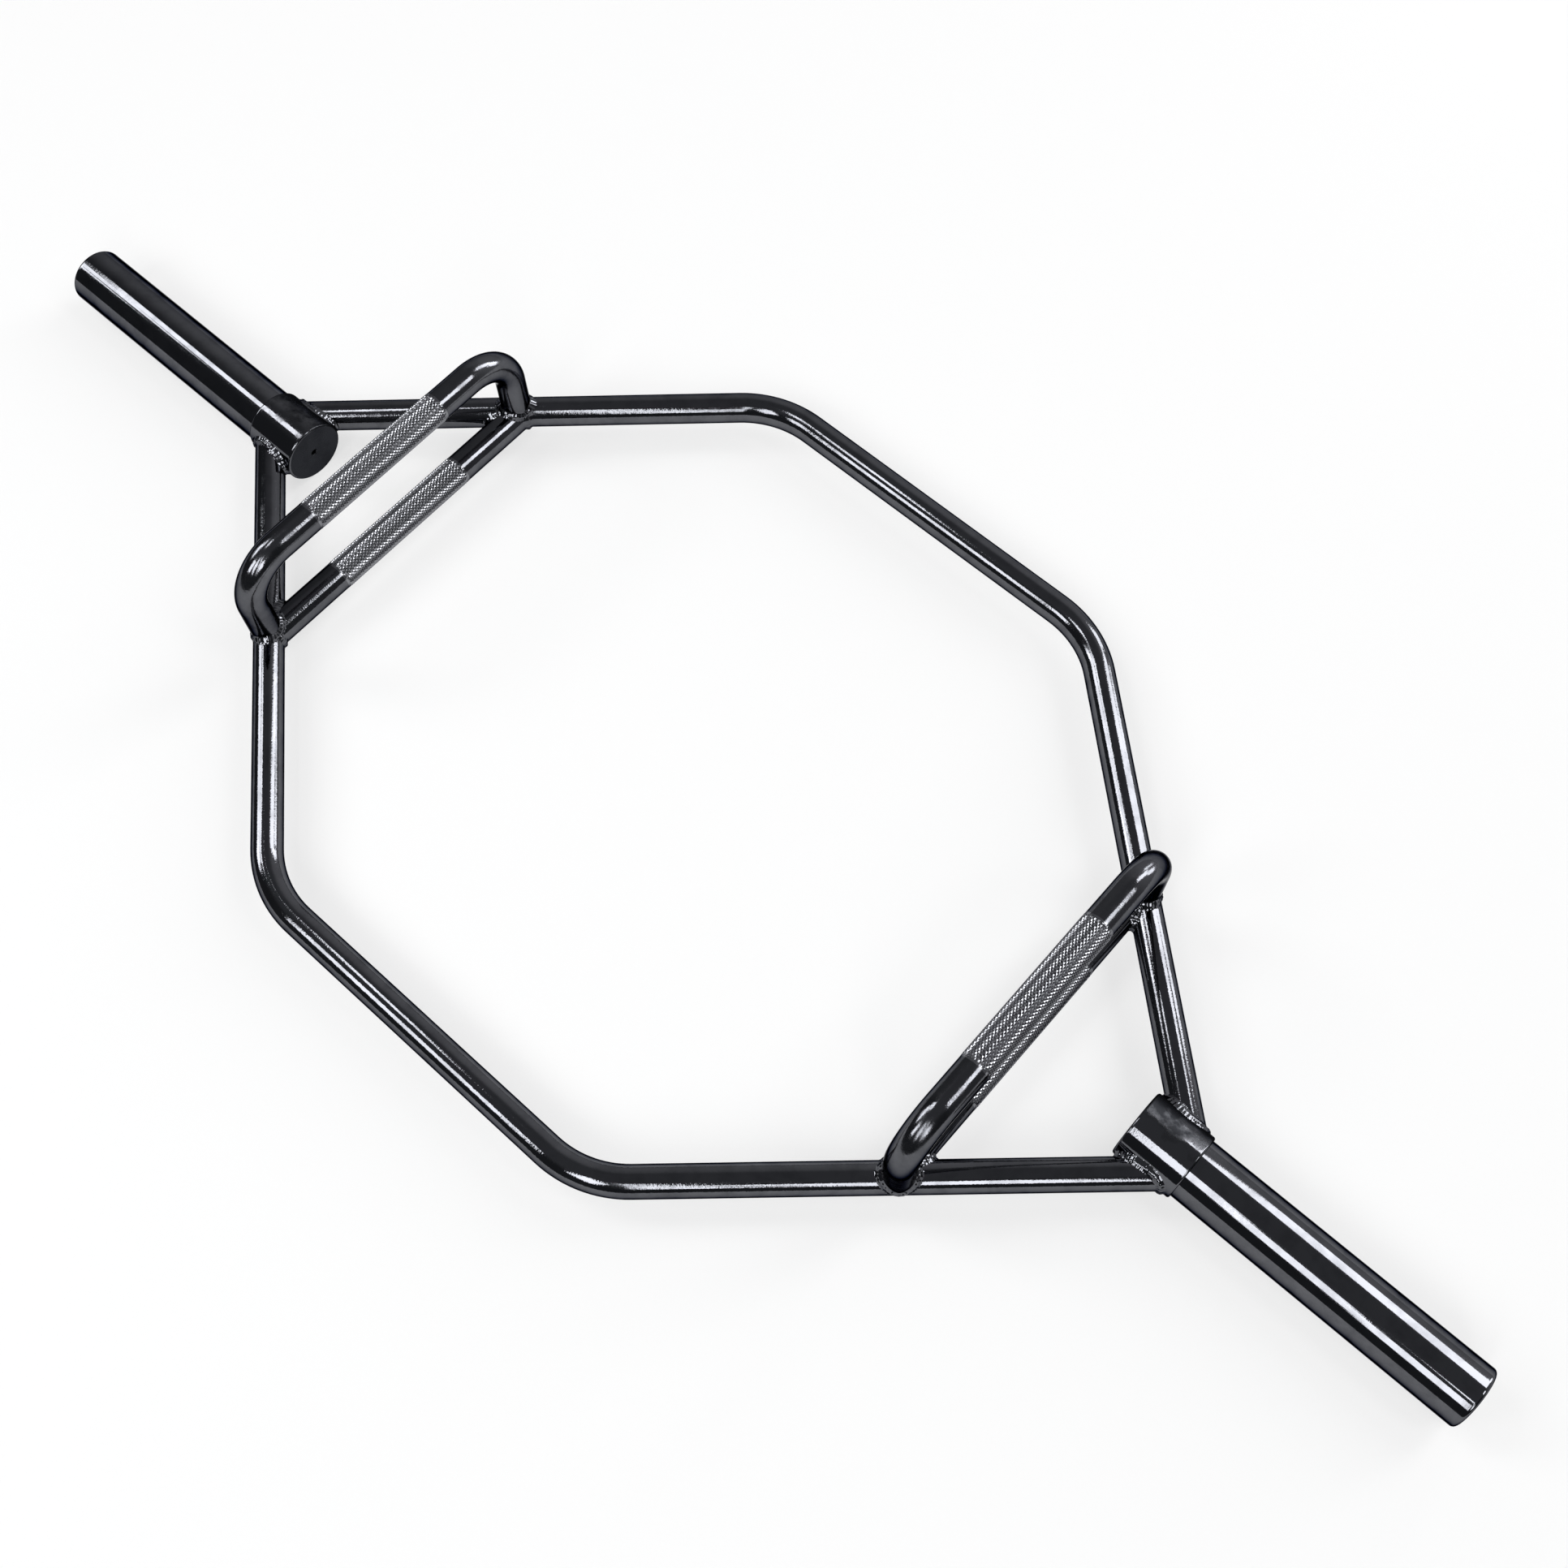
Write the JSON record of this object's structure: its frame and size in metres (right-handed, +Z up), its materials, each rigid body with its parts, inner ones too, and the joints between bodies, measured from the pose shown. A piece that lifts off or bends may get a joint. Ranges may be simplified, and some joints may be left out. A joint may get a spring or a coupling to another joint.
{
  "type": "hex trap bar",
  "caption": "Welded hexagonal lifting bar to stand inside, with plate sleeves at its ends and low and raised knurled grips at its sides.",
  "frame": {"origin": "on the floor under the middle of the frame, with the hubs resting on the floor", "axes": "+X along the sleeves to the right, +Y from front to rear, +Z up, with the raised handles on top"},
  "size_m": [1.43, 0.608, 0.1258],
  "materials": {
    "plated_bar": "black nickel plating over round steel bar, mirror bright with a slight grain",
    "plated_sleeve": "black nickel plating over turned and polished steel",
    "plated_weld": "black nickel plating over a lumpy weld bead"
  },
  "bodies": {
    "root": {"front_frame_bar": "plated_bar", "rear_frame_bar": "plated_bar", "left_low_grip": "plated_bar", "left_raised_handle": "plated_bar", "right_low_grip": "plated_bar", "right_raised_handle": "plated_bar", "left_hub_collar": "plated_sleeve", "left_hub_end_plate": "plated_sleeve", "left_sleeve_tube": "plated_sleeve", "left_sleeve_end_plug": "plated_sleeve", "right_hub_collar": "plated_sleeve", "right_hub_end_plate": "plated_sleeve", "right_sleeve_tube": "plated_sleeve", "right_sleeve_end_plug": "plated_sleeve", "front_left_hub_weld": "plated_weld", "front_left_raised_handle_weld": "plated_weld", "front_left_low_grip_weld": "plated_weld", "rear_left_hub_weld": "plated_weld", "rear_left_raised_handle_weld": "plated_weld", "rear_left_low_grip_weld": "plated_weld", "front_right_hub_weld": "plated_weld", "front_right_raised_handle_weld": "plated_weld", "front_right_low_grip_weld": "plated_weld", "rear_right_hub_weld": "plated_weld", "rear_right_raised_handle_weld": "plated_weld", "rear_right_low_grip_weld": "plated_weld"}
  },
  "joints": []
}
